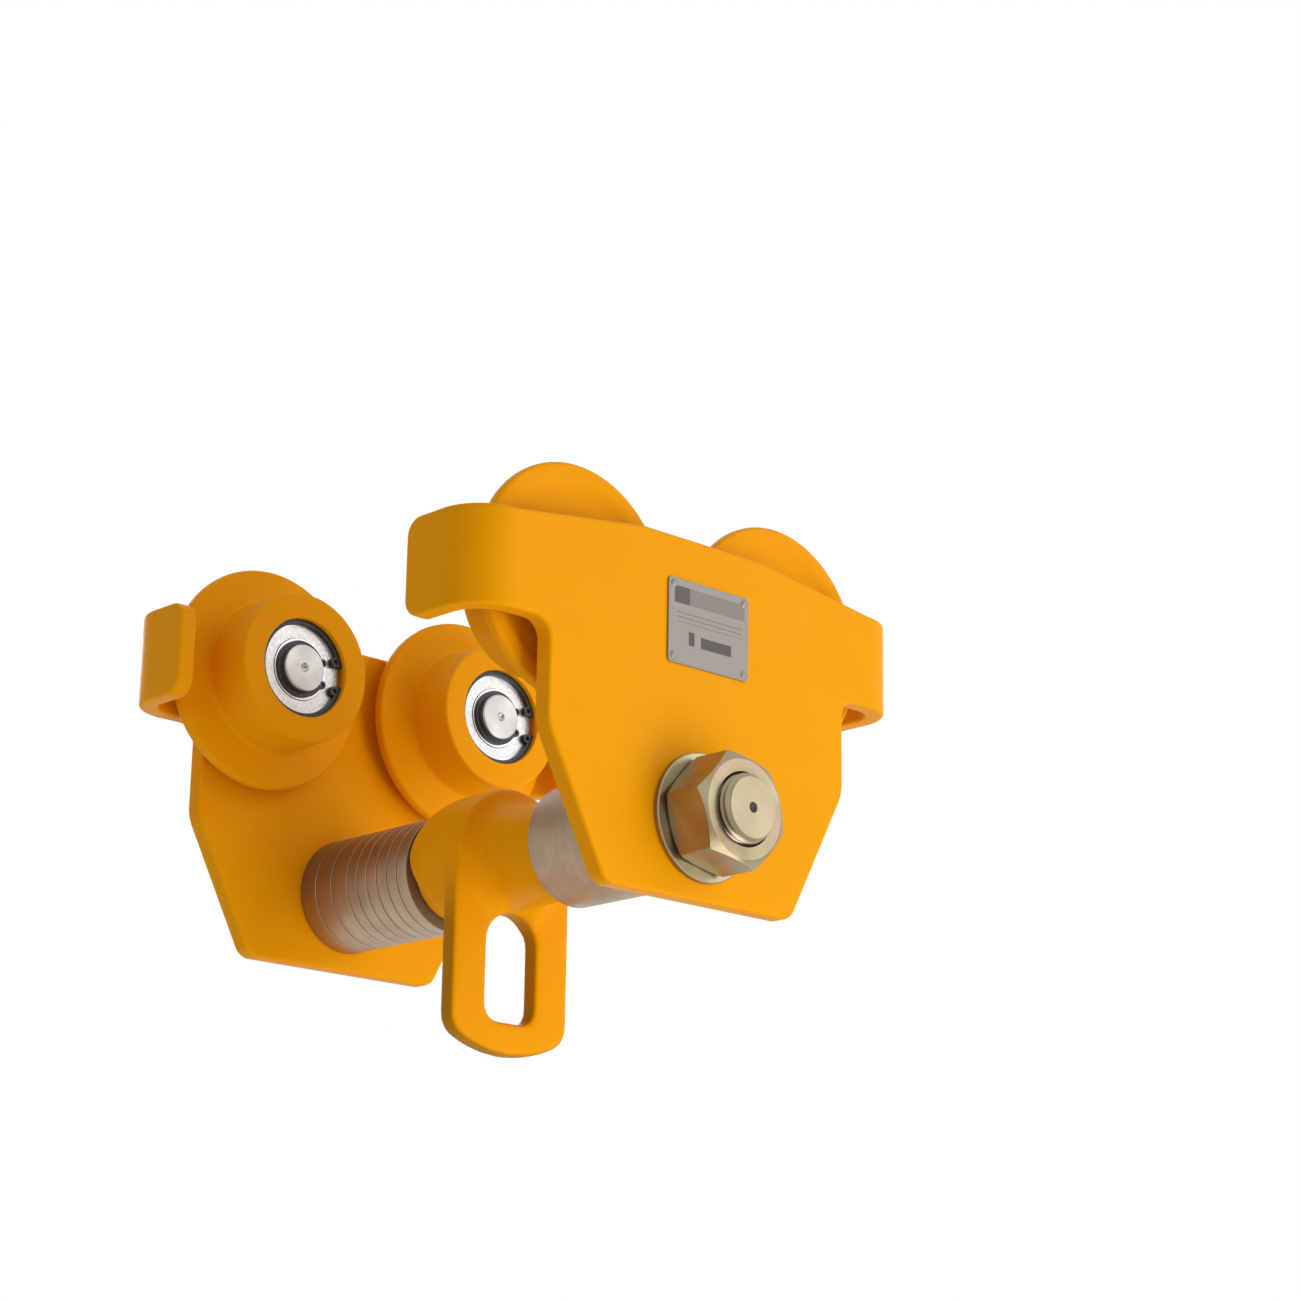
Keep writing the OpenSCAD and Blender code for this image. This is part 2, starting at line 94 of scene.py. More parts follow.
def addLamp(name, place, power, size):
    bpy.ops.object.light_add(type="AREA", location=place)
    lamp = bpy.context.object
    lamp.name = name
    lamp.data.energy = power
    lamp.data.size = size
    lamp.rotation_euler = (-Vector(place)).to_track_quat("-Z", "Y").to_euler()


# Shader maths: an output socket that can be written as a value

class Wire:
    def __init__(self, socket):
        self.socket = socket
        self.tree = socket.id_data

    def node(self, kind, settings, links, output=0):
        made = self.tree.nodes.new("ShaderNode" + kind)
        for key, value in settings.items():
            setattr(made, key, value)
        for key, value in links.items():
            if isinstance(value, Wire):
                self.tree.links.new(value.socket, made.inputs[key])
            else:
                made.inputs[key].default_value = value
        return Wire(made.outputs[output]) if made.outputs else made

    def maths(self, operation, first, second=0.0):
        return self.node("Math", {"operation": operation}, {0: first, 1: second})

    def __add__(self, other):
        return self.maths("ADD", self, other)

    def __sub__(self, other):
        return self.maths("SUBTRACT", self, other)

    def __rsub__(self, other):
        return self.maths("SUBTRACT", other, self)

    def __mul__(self, other):
        return self.maths("MULTIPLY", self, other)

    def __truediv__(self, other):
        return self.maths("DIVIDE", self, other)

    def __gt__(self, other):
        return self.maths("GREATER_THAN", self, other)

    def __lt__(self, other):
        return self.maths("LESS_THAN", self, other)

    def axis(self, name):
        return self.node("SeparateXYZ", {}, {0: self}, "XYZ".index(name))

    def stretched(self, scale, move=(0, 0, 0)):
        return self.node("Mapping", {}, {"Vector": self, "Scale": scale, "Location": move})

    def noise(self, scale, detail=3, rough=0.5):
        links = {"Vector": self, "Scale": scale, "Detail": detail, "Roughness": rough}
        return self.node("TexNoise", {}, links)

    def span(self, low, high, newLow=0.0, newHigh=1.0):
        return self.node("MapRange", {"clamp": True},
                         {0: self, 1: low, 2: high, 3: newLow, 4: newHigh})

    def mix(self, first, second):
        return self.node("Mix", {"data_type": "RGBA"}, {0: self, 6: first, 7: second}, 2)

    def bump(self, depth):
        return self.node("Bump", {}, {"Strength": 1.0, "Distance": depth, "Height": self})


def tone(red, green, blue):
    return (red, green, blue, 1)


def startMaterial(name):
    material = bpy.data.materials.new(name)
    material.use_nodes = True
    material.node_tree.nodes.clear()
    return material, Wire(material.node_tree.nodes.new("ShaderNodeTexCoord").outputs["Object"])


def endMaterial(material, place, sockets):
    surface = place.node("BsdfPrincipled", {}, sockets)
    surface.node("OutputMaterial", {}, {"Surface": surface})
    return material


# Finishes

enamel = {
    "plain": tone(0.93, 0.362, 0.001),
    "deep": tone(0.78, 0.27, 0.001),
    "pale": tone(0.95, 0.39, 0.004),
    # the colour of painted shade on walls
    "wallShade": tone(0.36, 0.15, 0.005),
    "peel": 0.05,            # height of its orange peel
    "wallShadeEdge": 1.2 * mm,    # over which a wall's painted shade begins and ends
    # how far down a wall's painted shade grows to its full
    "wallShadeFade": 25 * mm,
}


def yellowPaint(name, skin, skinScale, peel=1.0, shadedWall=None):
    # skin is how much of the cast, forged or rolled surface shows through the enamel,
    # and a shaded wall is a span of Y, below a height, where painted shade darkens the colour
    material, place = startMaterial(name)
    cloud = place.noise(28, 2).span(0.35, 0.65)
    speck = place.noise(900, 3, 0.6).span(0.62, 0.8)
    height = place.noise(430, 2, 0.4) * (enamel["peel"] * peel) + place.noise(skinScale, 4, 0.6) * skin
    colour = (speck * 0.3).mix((cloud * 0.35).mix(enamel["plain"], enamel["pale"]), enamel["deep"])
    # painted shade: a wall's colour goes towards the shade tone, more so lower down
    if shadedWall:
        along, edge = place.axis("Y"), enamel["wallShadeEdge"]
        wallShade = along.span(shadedWall["front"], shadedWall["front"] + edge) * along.span(shadedWall["back"], shadedWall["back"] - edge)
        low = place.axis("Z").span(shadedWall["top"], shadedWall["top"] - enamel["wallShadeFade"])
        colour = (wallShade * low * 0.7).mix(colour, enamel["wallShade"])
    return endMaterial(material, place, {
        "Base Color": colour,
        "Roughness": place.noise(60, 3).span(0.3, 0.7, 0.36, 0.48),
        "Coat Weight": 0.02,
        "Coat Roughness": 0.2,
        "Specular IOR Level": 0.06,
        "Specular Tint": tone(1, 0.75, 0.25),
        "Normal": height.bump(1 * mm),
    })


paintedShade = {
    # painted shade, near black, in the crevice at the nut's and washers' bores and in the bar's centre hole
    "creviceShade": tone(0.02, 0.017, 0.01),
    "boreCreviceShade": (16 * mm, 17.9 * mm),   # radii between which that painted shade lies
    "centreHoleShade": (0, 2.6 * mm),
    # painted shade on the rings' end faces where they meet
    "jointShade": tone(0.14, 0.08, 0.03),
    # painted shade on the rings' upper side, between two heights
    "upperShade": tone(0.17, 0.12, 0.075),
    "upperShadeLow": -28 * mm,                # from the load bar's axis
    "upperShadeHigh": 6 * mm,
}


def darkRound(place, inside, outside):
    # 1 between two radii round the load bar's axis, which marks where painted shade goes
    across, up = place.axis("X"), place.axis("Z") - barZ
    reach = across * across + up * up
    return (reach < outside ** 2) * (reach > inside ** 2)


def passivatedZinc(name, olive, straw, pink, creviceShade):
    # yellow chromate over zinc, in soft patches of three tones
    material, place = startMaterial(name)
    patch = place.noise(38, 2, 0.5)
    flush = place.stretched((1, 1, 1), (0.3, 0.1, 0.2)).noise(55, 2).span(0.45, 0.7)
    # painted shade, near black, in the crevice between two radii round the bar's axis, also rougher and less
    # metallic there
    shadeMask = darkRound(place, *creviceShade)
    plated = (flush * 0.6).mix(patch.span(0.32, 0.68).mix(olive, straw), pink)
    return endMaterial(material, place, {
        "Base Color": (shadeMask * 0.9).mix(plated, paintedShade["creviceShade"]),
        "Roughness": patch.span(0.3, 0.7, 0.26, 0.38) + shadeMask * 0.3,
        "Metallic": 0.9 - shadeMask * 0.7,
        "Normal": (place.noise(2600, 2) * 0.05 + place.noise(420, 3) * 0.12).bump(0.3 * mm),
    })


def turnedSteel(name, pale, dark, rough, lines=1.0, rim=0.0, upperShade=0.0):
    # lathe lines run round the Y axis, so the pattern is drawn out along X and Z;
    # painted shade darkens the rings' end faces within the rim's radius, where they meet,
    # and painted shade darkens their upper side
    material, place = startMaterial(name)
    feed = place.stretched((12, 5200, 12)).noise(1, 3, 0.65)
    band = place.stretched((3, 260, 3)).noise(1, 2)
    blotch = place.noise(60, 3, 0.6).span(0.35, 0.7)
    cut = (feed.span(0.35, 0.65) * 0.5 + band.span(0.3, 0.7) * 0.3).mix(pale, dark)
    # painted shade, darker on the upper side of the rings
    upper = place.axis("Z").span(barZ + paintedShade["upperShadeLow"], barZ + paintedShade["upperShadeHigh"]) * upperShade
    topShaded = upper.mix((blotch * 0.5).mix(cut, dark), paintedShade["upperShade"])
    # painted shade on the end faces within the rim's radius, also rougher and less metallic there
    jointShade = darkRound(place, 0, rim)
    return endMaterial(material, place, {
        "Base Color": (jointShade * 0.75).mix(topShaded, paintedShade["jointShade"]),
        "Roughness": blotch.span(0, 1, rough, rough + 0.14) + jointShade * 0.3,
        "Metallic": 0.95 - jointShade * 0.6,
        "Normal": (feed * 0.1 * lines).bump(0.3 * mm),
    })


def grainedSurface(name, pale, dark, scale, rough, metal, depth=0.05):
    material, place = startMaterial(name)
    grain = place.noise(scale, 4, 0.6)
    return endMaterial(material, place, {
        "Base Color": grain.span(0.35, 0.65).mix(pale, dark),
        "Roughness": grain.span(0.3, 0.7, rough, rough + 0.1),
        "Metallic": metal,
        "Normal": (grain * depth).bump(0.3 * mm),
    })


# Modelling helpers

def takeUp(piece):
    bpy.ops.object.select_all(action="DESELECT")
    piece.select_set(True)
    bpy.context.view_layer.objects.active = piece


def editMode(on=True):
    bpy.ops.object.mode_set(mode="EDIT" if on else "OBJECT")


def selectAll():
    bpy.ops.mesh.select_all(action="SELECT")


def pick(piece, kind, test):
    # selects what passes the test, which gets a point's place, an edge's two ends,
    # or a face's middle and normal
    bpy.ops.mesh.select_all(action="DESELECT")
    bpy.ops.mesh.select_mode(type=kind)
    mesh = bmesh.from_edit_mesh(piece.data)
    for part in {"VERT": mesh.verts, "EDGE": mesh.edges, "FACE": mesh.faces}[kind]:
        if kind == "VERT":
            part.select = test(part.co)
        elif kind == "EDGE":
            part.select = test(part.verts[0].co, part.verts[1].co)
        else:
            part.select = test(part.calc_center_median(), part.normal)
    mesh.select_flush_mode()
    bmesh.update_edit_mesh(piece.data)


def drawOutline(name, corners, lift, closed=True, steps=4):
    # a plane is merged to a point, extruded from corner to corner and rounded;
    # a corner is (across, along, rounding), and lift gives its place
    places = [lift(across, along) for across, along, rounding in corners]
    bpy.ops.object.select_all(action="DESELECT")
    bpy.ops.mesh.primitive_plane_add(size=mm)
    piece = bpy.context.object
    piece.name = name
    editMode()
    bpy.ops.mesh.select_mode(type="VERT")
    selectAll()
    bpy.ops.mesh.merge(type="CENTER")
    bpy.ops.transform.translate(value=places[0])
    for here, there in zip(places, places[1:]):
        bpy.ops.mesh.extrude_region_move(TRANSFORM_OT_translate={"value": there - here})
    if closed:
        ends = (places[0], places[-1])
        pick(piece, "VERT", lambda point: min((point - end).length for end in ends) < tiny)
        bpy.ops.mesh.edge_face_add()
    for at, (across, along, rounding) in enumerate(corners):
        if rounding:
            here, before, after = places[at], places[at - 1], places[(at + 1) % len(places)]
            half = (before - here).angle(after - here) / 2
            pick(piece, "VERT", lambda point: (point - here).length < tiny)
            bpy.ops.mesh.bevel(offset=rounding / math.tan(half), segments=steps, affect="VERTICES")
    return piece


def tidyMesh(piece):
    selectAll()
    bpy.ops.mesh.remove_doubles(threshold=tiny / 10)
    bpy.ops.mesh.normals_make_consistent(inside=False)
    editMode(False)


def turned(name, corners, axis, steps=96):
    # corners are (radius, along Y, rounding), and axis is the (x, z) that they turn about;
    # an outline that starts away from the axis is a ring's, and is closed
    piece = drawOutline(name, corners, lambda radius, along: Vector((axis[0] + radius, along, axis[1])),
                        closed=corners[0][0] > 0)
    selectAll()
    bpy.ops.mesh.spin(steps=steps, angle=math.tau, center=(axis[0], 0, axis[1]), axis=(0, 1, 0))
    tidyMesh(piece)
    return piece


def pressed(name, corners, front, back, steps=8):
    # an outline in (x, z) is filled and extruded from one Y to another
    piece = drawOutline(name, corners, lambda across, up: Vector((across, front, up)), steps=steps)
    selectAll()
    bpy.ops.mesh.edge_face_add()
    bpy.ops.mesh.extrude_region_move(TRANSFORM_OT_translate={"value": (0, back - front, 0)})
    tidyMesh(piece)
    return piece


def addModifier(piece, kind, **settings):
    takeUp(piece)
    bpy.ops.object.modifier_add(type=kind)
    modifier = piece.modifiers[-1]
    for key, value in settings.items():
        setattr(modifier, key, value)
    bpy.ops.object.modifier_apply(modifier=modifier.name)


def combine(piece, tool, operation):
    addModifier(piece, "BOOLEAN", operation=operation, object=tool, solver="MANIFOLD")
    bpy.data.objects.remove(tool)


def copyOf(piece, name, move=(0, 0, 0), flip=False):
    takeUp(piece)
    bpy.ops.object.duplicate()
    twin = bpy.context.object
    twin.name = name
    editMode()
    selectAll()
    bpy.ops.transform.translate(value=move)
    if flip:
        bpy.ops.transform.resize(value=(1, -1, 1), center_override=(0, 0, 0))
    tidyMesh(twin)
    return twin


def bothSides(make, node, *details):
    # the near piece and its mirror image, each with the node that it stands for
    near = make(node, *details)
    far = copyOf(near, near.name.replace("_near", "_far"), flip=True)
    return (near, node), (far, node.replace("_near", "_far"))


def finishPiece(piece, body, node, material, sharp=35):
    takeUp(piece)
    bpy.ops.object.transform_apply(location=True, rotation=True, scale=True)
    bpy.ops.object.shade_smooth_by_angle(angle=math.radians(sharp))
    addModifier(piece, "WEIGHTED_NORMAL", keep_sharp=True)
    piece.data.materials.clear()
    piece.data.materials.append(material)
    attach(piece, body)
    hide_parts(node)


def boxMiddle(node):
    low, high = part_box(node)
    return (low + high) / 2


# The scene itself

bpy.ops.object.select_all(action="DESELECT")
bpy.context.scene.cursor.location = (0, 0, 0)
bpy.context.scene.view_settings.view_transform = "Standard"
addCamera(cameraView)
for lamp in lampPlan:
    addLamp(*lamp)
print("camera and lamps are in place")

room = {
    "floorZ": -1.2,
    "floorSize": 40,
    "floorPale": tone(0.9, 0.9, 0.9),
    "floorDark": tone(0.87, 0.87, 0.87),
    "white": tone(1, 1, 1),
    "ambient": 0.3,
    "glow": 0.8,             # share of the floor that shows plain white
}


def seenRays(tree):
    # 1 for what the camera sees, straight on, in a reflection or through a piece
    ray = tree.nodes.new("ShaderNodeLightPath").outputs
    seen = Wire(ray["Is Camera Ray"]) + Wire(ray["Is Glossy Ray"]) + Wire(ray["Is Transmission Ray"])
    return seen.span(0, 1)


def addRoom():
    world = bpy.data.worlds.new("studio")
    bpy.context.scene.world = world
    world.use_nodes = True
    world.node_tree.nodes.clear()
    seen = seenRays(world.node_tree)
    strength = seen.span(0, 1, room["ambient"], 1)
    sky = seen.node("Background", {}, {"Color": room["white"], "Strength": strength})
    sky.node("OutputWorld", {}, {"Surface": sky})
    bpy.ops.mesh.primitive_plane_add(size=room["floorSize"], location=(0, 0, room["floorZ"]))
    floor = bpy.context.object
    floor.name = "floor"
    material, place = startMaterial("paleFloor")
    spread = place.noise(3, 2).mix(room["floorPale"], room["floorDark"])
    matt = place.node("BsdfPrincipled", {}, {
        "Base Color": spread, "Roughness": 0.8, "Specular IOR Level": 0.1})
    white = place.node("Emission", {}, {"Color": room["white"], "Strength": 1.0})
    glow = seenRays(material.node_tree) * room["glow"]
    blend = place.node("MixShader", {}, {0: glow, 1: matt, 2: white})
    blend.node("OutputMaterial", {}, {"Surface": blend})
    floor.data.materials.append(material)


addRoom()
print("floor and sky are in place")

barZ = boxMiddle("load_bar").z
barAxis = (0, barZ)
plateOut = -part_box("side_plate_near")[0].y
wheelAxes = {end: boxMiddle("wheel_near_" + end).xz for end in ("left", "right")}


def rod(name, radius, start, end):
    # a cylinder round the load bar's axis, to cut with
    return turned(name, [(0, start, 0), (radius, start, 0), (radius, end, 0), (0, end, 0)], barAxis)


# Side plates: one folded sheet each, with the outline pressed and the ends bent in

plate = {
    "thick": 10 * mm,
    "neck": 97 * mm,         # half widths
    "foot": 60.5 * mm,
    "crown": 40 * mm,
    "kneeAboveBar": 28.8 * mm,
    "endTop": 20.7 * mm,     # from the axles
    "endLow": -27.3 * mm,
    "bend": 25 * mm,
    "corner": 9 * mm,
    "steps": 8,              # of a rounded corner
    "bendSteps": 12,
    "edge": 1.8 * mm,
    "edgeSteps": 4,
    "sharp": 60,             # degrees
    "barHole": 17 * mm,
    "spigot": 12 * mm,
    "sink": 3 * mm,
}

sheetPaint = yellowPaint("sheetPaint", 0.04, 180)


def plateOutline(low, high, bendX):
    axleZ, corner = wheelAxes["left"][1], plate["corner"]
    endTop, endLow = axleZ + plate["endTop"], axleZ + plate["endLow"]
    half = [
        (plate["foot"], low.z, corner), (plate["neck"], barZ + plate["kneeAboveBar"], 2 * corner),
        (plate["neck"], endLow, corner), (bendX, endLow, 0), (bendX, endTop, 0),
        (plate["crown"], high.z, 4 * corner)]
    return half + [(-across, up, rounding) for across, up, rounding in reversed(half)]


def faceOutwards(piece):
    # an open sheet has no inside, so its largest face, the front, decides which way it faces
    front = max(piece.data.polygons, key=lambda part: part.area)
    if front.normal.y > 0:
        takeUp(piece)
        editMode()
        selectAll()
        bpy.ops.mesh.flip_normals()
        editMode(False)


def axleHole(front, back, axis):
    # sunk on the outside, where the axle is riveted
    mouth, neck = plate["spigot"] + plate["sink"], plate["spigot"]
    return turned("axleHole", [
        (0, front - spare, 0), (mouth, front - spare, 0), (mouth, front, 0),
        (neck, front + plate["sink"], 0), (neck, back + spare, 0), (0, back + spare, 0)], axis)


def makeSidePlate(node):
    low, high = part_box(node)
    bendX = high.x - plate["bend"]
    piece = drawOutline(node + "_sheet", plateOutline(low, high, bendX),
                        lambda across, up: Vector((across, low.y, up)), steps=plate["steps"])
    selectAll()
    bpy.ops.mesh.edge_face_add()
    for way in (-1, 1):
        pick(piece, "EDGE", lambda a, b: min(way * a.x, way * b.x) > bendX - tiny)
        bpy.ops.mesh.spin(steps=plate["bendSteps"], angle=-way * math.pi / 2, axis=(0, 0, 1),
                          center=(way * bendX, low.y + plate["bend"], 0))
        bpy.ops.mesh.extrude_region_move(
            TRANSFORM_OT_translate={"value": (0, high.y - low.y - plate["bend"], 0)})
    pick(piece, "VERT", lambda point: point.y > high.y - tiny)
    bpy.ops.mesh.bevel(offset=plate["corner"], segments=plate["steps"], affect="VERTICES")
    tidyMesh(piece)
    faceOutwards(piece)
    addModifier(piece, "SOLIDIFY", thickness=plate["thick"], offset=-1, use_even_offset=True)
    editMode()
    bpy.ops.mesh.select_mode(type="EDGE")
    bpy.ops.mesh.select_all(action="DESELECT")
    bpy.ops.mesh.edges_select_sharp(sharpness=math.radians(plate["sharp"]))
    bpy.ops.mesh.bevel(offset=plate["edge"], segments=plate["edgeSteps"], affect="EDGES")
    editMode(False)
    back = low.y + plate["thick"]
    for axis in wheelAxes.values():
        combine(piece, axleHole(low.y, back, axis), "DIFFERENCE")
    combine(piece, rod("barHole", plate["barHole"], low.y - spare, back + spare), "DIFFERENCE")
    return piece


for piece, node in bothSides(makeSidePlate, "side_plate_near"):
    finishPiece(piece, "frame", node, sheetPaint)
print("side plates are made")


# Stub axles, riveted flush into the plates and painted over there

axle = {
    "collar": 16 * mm,       # radii
    "journal": 12.5 * mm,
    "neck": 11.95 * mm,
    "centre": 2.5 * mm,
    "wheelGap": 6.4 * mm,
    "bearing": (18.35 * mm, 33.35 * mm),   # from the wheel's outer face
    "clip": 1.3 * mm,
    "nose": 3 * mm,
    "collarEdge": 0.4 * mm,
    "seatEdge": 0.8 * mm,
    "tipEdge": 1 * mm,
    "paintDepth": 0.5 * mm,  # into the plate
}

axleSteel = turnedSteel("axleSteel", tone(0.50, 0.49, 0.47), tone(0.30, 0.29, 0.28), 0.3, 0.6)


def makeAxle(node, axis):
    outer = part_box(node)[0].y
    foot, neck, sink = outer + plate["thick"], plate["spigot"], plate["sink"]
    seat, groove = (foot + axle["wheelGap"] + along for along in axle["bearing"])
    nose = groove + axle["clip"]
    tip = nose + axle["nose"]
    return turned(node + "_turned", [
        (0, outer, 0), (neck + sink, outer, 0), (neck, outer + sink, 0), (neck, foot, 0),
        (axle["collar"], foot, axle["collarEdge"]), (axle["collar"], seat, axle["seatEdge"]),
        (axle["journal"], seat, 0), (axle["journal"], groove, 0),
        (axle["neck"], groove, 0), (axle["neck"], nose, 0), (axle["journal"], nose, 0),
        (axle["journal"], tip, axle["tipEdge"]), (axle["centre"], tip, 0),
        (0, tip - axle["centre"], 0)], axis)


def finishAxle(piece, node):
    finishPiece(piece, "frame", node, axleSteel)
    piece.data.materials.append(sheetPaint)
    editMode()
    outside = plateOut - axle["paintDepth"]
    pick(piece, "FACE", lambda middle, normal: abs(middle.y) > outside and abs(normal.y) > 0.9)
    piece.active_material_index = 1
    bpy.ops.object.material_slot_assign()
    editMode(False)


for end, axis in wheelAxes.items():
    for piece, node in bothSides(makeAxle, "axle_near_" + end, axis):
        finishAxle(piece, node)
print("axles are made")


# Wheels: cast, with a flange, a tapered tread and a dished outer face

wheel = {
    "hub": 17.2 * mm,        # radii, with the dish from one to the other
    "dish": (23 * mm, 51 * mm),
    "flange": 58.4 * mm,
    "tread": (40 * mm, 39.2 * mm),
    "seat": 26 * mm,
    "shoulder": 22.5 * mm,
    "dishDepth": 2 * mm,
    "dishSlope": 6 * mm,
    "dishRound": 12 * mm,
    "round": 2.2 * mm,
    "rim": 6 * mm,
    "root": 10.5 * mm,
    "fillet": 3 * mm,
    "groove": (27.5 * mm, 35.45 * mm),   # its radius, and its place from the outer face
    "web": 3 * mm,
    "hubEdge": 0.8 * mm,
    "treadEdge": 1.2 * mm,
    "seatEdge": 0.6 * mm,
    "steps": 128,
}

castPaint = yellowPaint("castPaint", 0.30, 260, 1.3)


def makeWheel(node, axis):
    low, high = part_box(node)
    face, inner = low.y, high.y
    seat, clip = (face + along for along in axle["bearing"])
    dishIn, dishOut = wheel["dish"]
    dishFloor, slope, soft = face + wheel["dishDepth"], wheel["dishSlope"], wheel["dishRound"]
    treadOuter, treadInner = wheel["tread"]
    grooveOut, grooveEnd = wheel["groove"][0], face + wheel["groove"][1]
    return turned(node + "_cast", [
        (wheel["hub"], face, wheel["hubEdge"]), (dishIn, face, soft), (dishIn + slope, dishFloor, soft),
        (dishOut - slope, dishFloor, soft), (dishOut, face, soft),
        (wheel["flange"], face, wheel["round"]), (wheel["flange"], face + wheel["rim"], wheel["round"]),
        (treadOuter, face + wheel["root"], wheel["fillet"]), (treadInner, inner, wheel["treadEdge"]),
        (wheel["seat"], inner, wheel["seatEdge"]), (wheel["seat"], grooveEnd, 0),
        (grooveOut, grooveEnd, 0), (grooveOut, clip, 0),
        (wheel["seat"], clip, 0), (wheel["seat"], seat, 0), (wheel["shoulder"], seat, 0),
        (wheel["shoulder"], seat - wheel["web"], 0), (wheel["hub"], seat - wheel["web"], 0)],
        axis, steps=wheel["steps"])


for end, axis in wheelAxes.items():
    for piece, node in bothSides(makeWheel, "wheel_near_" + end, axis):
        finishPiece(piece, node.replace("wheel", "wheel_set"), node, castPaint)
print("wheels are made")


# Load bar with threaded ends

bar = {
    "radius": 16.5 * mm,
    "chamfer": 2 * mm,
    "centre": 2.5 * mm,
    "pitch": 3.5 * mm,
    "threadDepth": 1.9 * mm,
    "threadFrom": 143 * mm,
    "ridgeFoot": 0.44,       # half widths, in pitches
    "ridgeTop": 0.06,
    "ridgeLap": 0.2 * mm,    # how far the ridge sinks into the core
    "ridgeSteps": 64,
}

# painted shade in the centre hole at the bar's ends
barZinc = passivatedZinc("barZinc", tone(0.28, 0.24, 0.15), tone(0.40, 0.33, 0.21), tone(0.36, 0.26, 0.18),
                         paintedShade["centreHoleShade"])


def makeThread(start, length):
    # one turn's ridge, wound round the bar by a screw
    pitch, steps = bar["pitch"], bar["ridgeSteps"]
    inside, crest = bar["radius"] - bar["threadDepth"] - bar["ridgeLap"], bar["radius"]
    wide, narrow = bar["ridgeFoot"] * pitch, bar["ridgeTop"] * pitch
    corners = [(inside, -wide, 0), (crest, -narrow, 0), (crest, narrow, 0), (inside, wide, 0)]
    ridge = drawOutline("ridge", corners, lambda radius, along: Vector((radius, start + along, 0)))
    editMode(False)
    addModifier(ridge, "SCREW", axis="Y", angle=math.tau, screw_offset=pitch, iterations=int(length / pitch),
                steps=steps, render_steps=steps, use_merge_vertices=True, merge_threshold=tiny / 10)
    takeUp(ridge)
    editMode()
    selectAll()
    bpy.ops.mesh.fill_holes(sides=4)
    bpy.ops.transform.translate(value=(0, 0, barZ))
    tidyMesh(ridge)
    return ridge


def makeLoadBar():
    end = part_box("load_bar")[1].y
    core, full = bar["radius"] - bar["threadDepth"], bar["radius"]
    thread, centre, chamfer = bar["threadFrom"], bar["centre"], bar["chamfer"]
    piece = turned("load_bar_turned", [
        (0, centre - end, 0), (centre, -end, 0), (core, -end, 0), (core, -thread, 0),
        (full, -thread + bar["threadDepth"], 0), (full, thread - bar["threadDepth"], 0),
        (core, thread, 0), (core, end, 0), (centre, end, 0), (0, end - centre, 0)], barAxis)
    length = end - thread + 2 * bar["pitch"]
    for start in (-end - bar["pitch"], thread - bar["pitch"]):
        combine(piece, makeThread(start, length), "UNION")
    envelope = turned("envelope", [
        (0, -end, 0), (full - chamfer, -end, 0), (full, chamfer - end, 0),
        (full, end - chamfer, 0), (full - chamfer, end, 0), (0, end, 0)], barAxis)
    combine(piece, envelope, "INTERSECT")
    finishPiece(piece, "frame", "load_bar", barZinc)


makeLoadBar()
print("load bar is made")


# Spacer sleeve, rings and washers

ring = {
    "outer": 30 * mm,        # radii
    "inner": 17 * mm,
    "washer": 31 * mm,
    "chamfer": 0.5 * mm,
    "edge": 0.15 * mm,
    # how much painted shade darkens the rings' upper side
    "upperShade": 0.6,
}

# its end faces get painted shade within the rim, and its upper side gets painted shade
ringSteel = turnedSteel("ringSteel", tone(0.62, 0.47, 0.33), tone(0.38, 0.28, 0.19), 0.36,
                        rim=ring["outer"] - ring["edge"], upperShade=ring["upperShade"])
# painted shade in the crevice where the bar enters the nut and washers
zincPlate = passivatedZinc("zincPlate", tone(0.21, 0.17, 0.085), tone(0.40, 0.35, 0.22),
                           tone(0.38, 0.25, 0.20), paintedShade["boreCreviceShade"])


def makeRing(node, outer=ring["outer"]):
    low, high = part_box(node)
    inner, chamfer, edge = ring["inner"], ring["chamfer"], ring["edge"]
    return turned(node + "_turned", [
        (inner, low.y, 0), (outer - chamfer, low.y, edge), (outer, low.y + chamfer, edge),
        (outer, high.y - chamfer, edge), (outer - chamfer, high.y, edge), (inner, high.y, 0)], barAxis)


def makeRings(nodes):
    # the rings of one width are copies of the first
    pieces = [makeRing(nodes[0])]
    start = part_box(nodes[0])[0].y
    for node in nodes[1:]:
        pieces.append(copyOf(pieces[0], node + "_turned", (0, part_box(node)[0].y - start, 0)))
    for piece, node in zip(pieces, nodes):
        finishPiece(piece, "frame", node, ringSteel)


makeRings(["spacer_sleeve"])
makeRings(["wide_ring_" + str(number) for number in range(1, 4)])
makeRings(["narrow_ring_" + str(number) for number in range(1, 7)])
for piece, node in bothSides(makeRing, "washer_near", ring["washer"]):
    finishPiece(piece, "frame", node, zincPlate)
print("rings are made")


# Hexagon nuts

nut = {
    "flats": 50 * mm,
    "turn": 12,              # degrees, from a corner on the level
    "land": 0.95,            # the flat end's width, as a share of the flats
    "slope": 30,             # degrees
    "lead": 1.3 * mm,
    "edge": 1.5 * mm,
    "edgeSteps": 4,
    "sharp": 25,             # degrees
}


